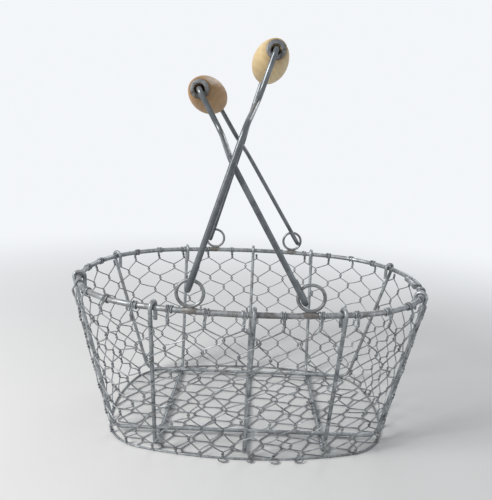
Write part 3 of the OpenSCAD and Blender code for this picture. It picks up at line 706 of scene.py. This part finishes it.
def make_rim_ties(finish):
    """The netting's top wires: from each twist two go up and are wound round the rim, away from each other"""
    held = held_places()
    radius = (RIM_WIRE + NET_WIRE) / 2 + WELD_GAP
    runs = []
    for column in range(NET_COLUMNS):
        turn = oval_turn(RIM_NET, FRONT_MIDDLE + (column + NET_PHASE) / NET_COLUMNS)
        middle = oval_point(RIM, turn)
        if any((middle - place).length < room for place, room in held):
            continue
        out, along = outward(turn), alongside(turn)
        centre = middle + Vector((0, 0, RIM_HEIGHT))
        twist_column, top = twist_at(2 * column, 0)
        for side in (1, -1):
            start = wall_point(twist_column, top, side * TWIST_GAP, 0)
            turns = TIE_TURNS + TIE_TURNS_SCATTER * unevenness(column, side, TIE_NOISE)
            steps = round(STEPS_A_TURN * turns)
            coil = []
            for i in range(steps + 1):
                angle = TIE_FIRST_ANGLE + 360 * turns * i / steps
                offset = side * (TIE_FIRST_OFFSET + TIE_PITCH * turns * i / steps)
                round_rim = centre + out * radius * cosd(angle) + Vector((0, 0, radius * sind(angle)))
                coil.append(round_rim + along * offset)
            tail = [start - Vector((0, 0, TIE_OVERLAP)), start, start.lerp(coil[0], 0.5) + out * TIE_BULGE]
            runs.append(tail + coil)
    bent_wires("wound_rim_ties", runs, NET_WIRE, "basket", ["rim_ties"], finish)


def make_lacing(name, x, y, finish):
    """The wire coiled round a cross rib's foot, which holds the base's netting to it"""
    radius = (RIB_WIRE + NET_WIRE) / 2 + WELD_GAP
    steps = LACING_STEPS_A_TURN * LACING_TURNS
    span = LACING_TURNS * LACING_PITCH
    coil = []
    for i in range(steps + 1):
        angle = 360 * LACING_TURNS * i / steps
        coil.append(Vector((x + radius * cosd(angle), -y + span * (i / steps - 0.5),
                            CROSS_RIB_Z + radius * sind(angle))))
    bent_wires(name + "_coil", [coil], NET_WIRE, "basket", [name], finish)


# Turned pieces
def turned(name, rings, place, sides, body, nodes, finish):
    """A turned piece with a hole: rings of [radius, distance along the axis], from one mouth to the other"""
    first_radius, first_z = rings[0]
    bpy.ops.object.select_all(action="DESELECT")
    bpy.ops.mesh.primitive_circle_add(vertices=sides, radius=first_radius * MM, location=(0, 0, first_z * MM))
    piece = bpy.context.object
    piece.name = name
    bpy.ops.object.transform_apply(location=True, rotation=False, scale=False)
    bpy.ops.object.mode_set(mode="EDIT")
    bpy.ops.mesh.select_all(action="SELECT")
    for (radius, z), (next_radius, next_z) in zip(rings, rings[1:]):
        bpy.ops.mesh.extrude_region_move(TRANSFORM_OT_translate={"value": (0, 0, (next_z - z) * MM)})
        grow = next_radius / radius
        bpy.ops.transform.resize(value=(grow, grow, 1), center_override=(0, 0, next_z * MM))
    bpy.ops.mesh.select_all(action="DESELECT")
    bpy.ops.mesh.select_non_manifold()
    bpy.ops.mesh.bridge_edge_loops()
    bpy.ops.mesh.select_all(action="SELECT")
    bpy.ops.mesh.normals_make_consistent(inside=False)
    bpy.ops.object.mode_set(mode="OBJECT")
    bpy.ops.object.shade_smooth_by_angle(angle=radians(TURNED_SHARP_ANGLE))
    piece.matrix_world = place
    bpy.ops.object.transform_apply(location=True, rotation=True, scale=True)
    piece.data.materials.append(finish)
    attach(piece, body)
    if nodes:
        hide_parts(*nodes)


def on_axis(spot, axis):
    """The place of a turned piece: its middle in millimetres and the direction of its axis"""
    return Matrix.Translation(spot * MM) @ axis.to_track_quat("Z", "Y").to_matrix().to_4x4()


# A grip's flared mouth: radius and depth, from inside out
GRIP_MOUTH = ((2.55, 16), (2.9, 7), (3.5, 1), (3.8, 0))
# Half of a weld bead: radius and distance from its middle, from its end to its middle
WELD_BEAD = ((1.95, 5.2), (2.14, 4.8), (2.2, 3.6), (2.34, 2.4), (2.52, 1.2), (2.6, 0))
WELD_RISE = 0.35
GRIP_SIDES, CAP_SIDES, WELD_SIDES = 64, 48, 32


def grip_rings():
    """Profile of a grip from its front mouth over the barrel to its back mouth"""
    half = GRIP_LENGTH / 2
    belly = (GRIP_DIAMETER - GRIP_END_DIAMETER) / 2
    barrel = (half ** 2 + belly ** 2) / 2 / belly
    shoulder = half - GRIP_ROUNDING

    def radius_at(y):
        return GRIP_DIAMETER / 2 - barrel + sqrt(barrel ** 2 - y * y)

    end = radius_at(shoulder)
    mouth = [[radius, -half + depth] for radius, depth in GRIP_MOUTH]
    rounding = [[end - GRIP_ROUNDING * (1 - sind(a)), -shoulder - GRIP_ROUNDING * cosd(a)]
                for a in (0, 15, 30, 50, 70)]
    barrel_half = [[radius_at(y), y] for y in [-shoulder * cosd(a) for a in range(0, 90, 6)]]
    front = mouth + rounding + barrel_half
    return front + [[radius_at(0), 0]] + [[radius, -z] for radius, z in reversed(front)]


def cap_rings():
    """Profile of a pressed metal end plate: a wide dark eye and a rounded rim"""
    r, t = CAP_DIAMETER / 2, CAP_THICKNESS
    return [[3.75, -0.5], [3.7, 0.3 * t], [3.85, 0.8 * t], [4.2, t], [4.8, 0.97 * t], [5.6, 0.85 * t],
            [r - 0.5, 0.7 * t], [r - 0.1, 0.42 * t], [r, 0.15 * t], [r - 0.12, 0], [4.2, 0], [4.1, -0.5]]


def bail_top(side, legs):
    """Front and back corner of a bail beside its grip"""
    corners = []
    for end, (length, lean, share, direction) in zip((-1, 1), legs):
        hook_x = side * RING_X + share * HOOK_REST * cosd(direction)
        hook_z = RING_Z + share * HOOK_REST * sind(direction)
        corners.append(Vector((hook_x + length * sind(lean), end * NECK_WIDTH / 2,
                               hook_z + length * cosd(lean))))
    return corners


def make_grips(left_wood, right_wood, cap_finish):
    """The wooden grips between the corners of the bails, each with its two end plates"""
    for name, side, legs, wood in (("left", -1, LEFT_LEGS, left_wood), ("right", 1, RIGHT_LEGS, right_wood)):
        front, back = bail_top(side, legs)
        body = name + "_grip"
        place = on_axis((front + back) / 2, (back - front).normalized())
        turned(name + "_grip_barrel", grip_rings(), place, GRIP_SIDES, body, ["grip_" + name],
               wood)
        seat = (GRIP_LENGTH / 2 + WELD_GAP) * MM
        for end, turn in (("back", 0), ("front", 180)):
            there = place @ Matrix.Rotation(radians(turn), 4, "X") @ Matrix.Translation((0, 0, seat))
            turned(name + "_grip_" + end + "_plate", cap_rings(), there, CAP_SIDES, body, ["caps_" + name],
                   cap_finish)


def make_ring_welds(finish):
    """The weld under each ring: a low swelling of the rim, thickest under the ring"""
    half = [[radius, -z] for radius, z in WELD_BEAD]
    bead = half + [[radius, -z] for radius, z in reversed(half[:-1])]
    corner = turn_at_x(RIM, RING_X)
    places = {"front_left": 180 + corner, "back_left": 180 - corner, "front_right": -corner,
              "back_right": corner}
    for where, turn in places.items():
        foot = oval_point(RIM, turn)
        place = on_axis(Vector((foot.x, foot.y, RIM_HEIGHT + WELD_RISE)), alongside(turn))
        turned("ring_weld_" + where, bead, place, WELD_SIDES, "basket", [], finish)


# The whole basket
photo_camera()
studio()

zinc = zinc_group()
rim_zinc = zinc_finish("rim_zinc", zinc, bright=(0.42, 0.44, 0.46), dull=(0.14, 0.145, 0.15),
                       dirt=(0.115, 0.09, 0.07), dirt_amount=0.15, spangle=420.0, smoothest=0.32,
                       roughest=0.50, relief=0.5, metallic=0.65, front_browning=0.6)
weld_zinc = zinc_finish("weld_zinc", zinc, bright=(0.29, 0.285, 0.275), dull=(0.12, 0.112, 0.105),
                        dirt=(0.11, 0.085, 0.065), dirt_amount=0.5, spangle=900.0, smoothest=0.45,
                        roughest=0.65, relief=0.8, metallic=0.5)
rib_zinc = zinc_finish("rib_zinc", zinc, bright=(0.45, 0.48, 0.50), dull=(0.14, 0.15, 0.16),
                       dirt=(0.10, 0.08, 0.065), dirt_amount=0.3, spangle=520.0, smoothest=0.32,
                       roughest=0.50, relief=0.45, metallic=0.65)
bail_zinc = zinc_finish("bail_zinc", zinc, bright=(0.165, 0.183, 0.195), dull=(0.082, 0.092, 0.10),
                        dirt=(0.08, 0.062, 0.05), dirt_amount=0.15, spangle=200.0, smoothest=0.27,
                        roughest=0.36, relief=0.15, metallic=0.65)
ring_zinc = zinc_finish("ring_zinc", zinc, bright=(0.32, 0.34, 0.35), dull=(0.12, 0.128, 0.135),
                        dirt=(0.11, 0.085, 0.065), dirt_amount=0.35, spangle=520.0, smoothest=0.30,
                        roughest=0.48, relief=0.4, metallic=0.65)
netting_zinc = zinc_finish("netting_zinc", zinc, bright=(0.42, 0.445, 0.465), dull=(0.10, 0.108, 0.117),
                           dirt=(0.09, 0.07, 0.055), dirt_amount=0.35, spangle=900.0, smoothest=0.42,
                           roughest=0.60, relief=0.35, metallic=0.5)
plate_steel = zinc_finish("plate_steel", zinc, bright=(0.28, 0.29, 0.30), dull=(0.08, 0.08, 0.085),
                          dirt=(0.06, 0.05, 0.04), dirt_amount=0.7, spangle=1400.0, smoothest=0.32,
                          roughest=0.55, relief=0.6, metallic=0.7)
left_beech = grip_wood("left_grip_beech", pith=(38, 0, 345), pale=(0.72, 0.57, 0.32),
                       dark=(0.50, 0.345, 0.16))
right_beech = grip_wood("right_grip_beech", pith=(-78, 0, 300), pale=(0.43, 0.25, 0.095),
                        dark=(0.25, 0.128, 0.04))

FINISHES = {"rim_hoop": rim_zinc, "base_edge_wire": netting_zinc, "bail_left": bail_zinc,
            "bail_right": bail_zinc}
for node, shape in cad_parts.items():
    finish = FINISHES.get(node, ring_zinc if node.startswith("ring_") else rib_zinc)
    for slot in shape.material_slots:
        slot.material = finish

make_netting(netting_zinc)
make_rim_ties(netting_zinc)
make_lacing("base_lacing_left", -LEFT_RIB_X, LEFT_LACING_Y, netting_zinc)
make_lacing("base_lacing_right", RIGHT_RIB_X, RIGHT_LACING_Y, netting_zinc)
make_grips(left_beech, right_beech, plate_steel)
make_ring_welds(weld_zinc)
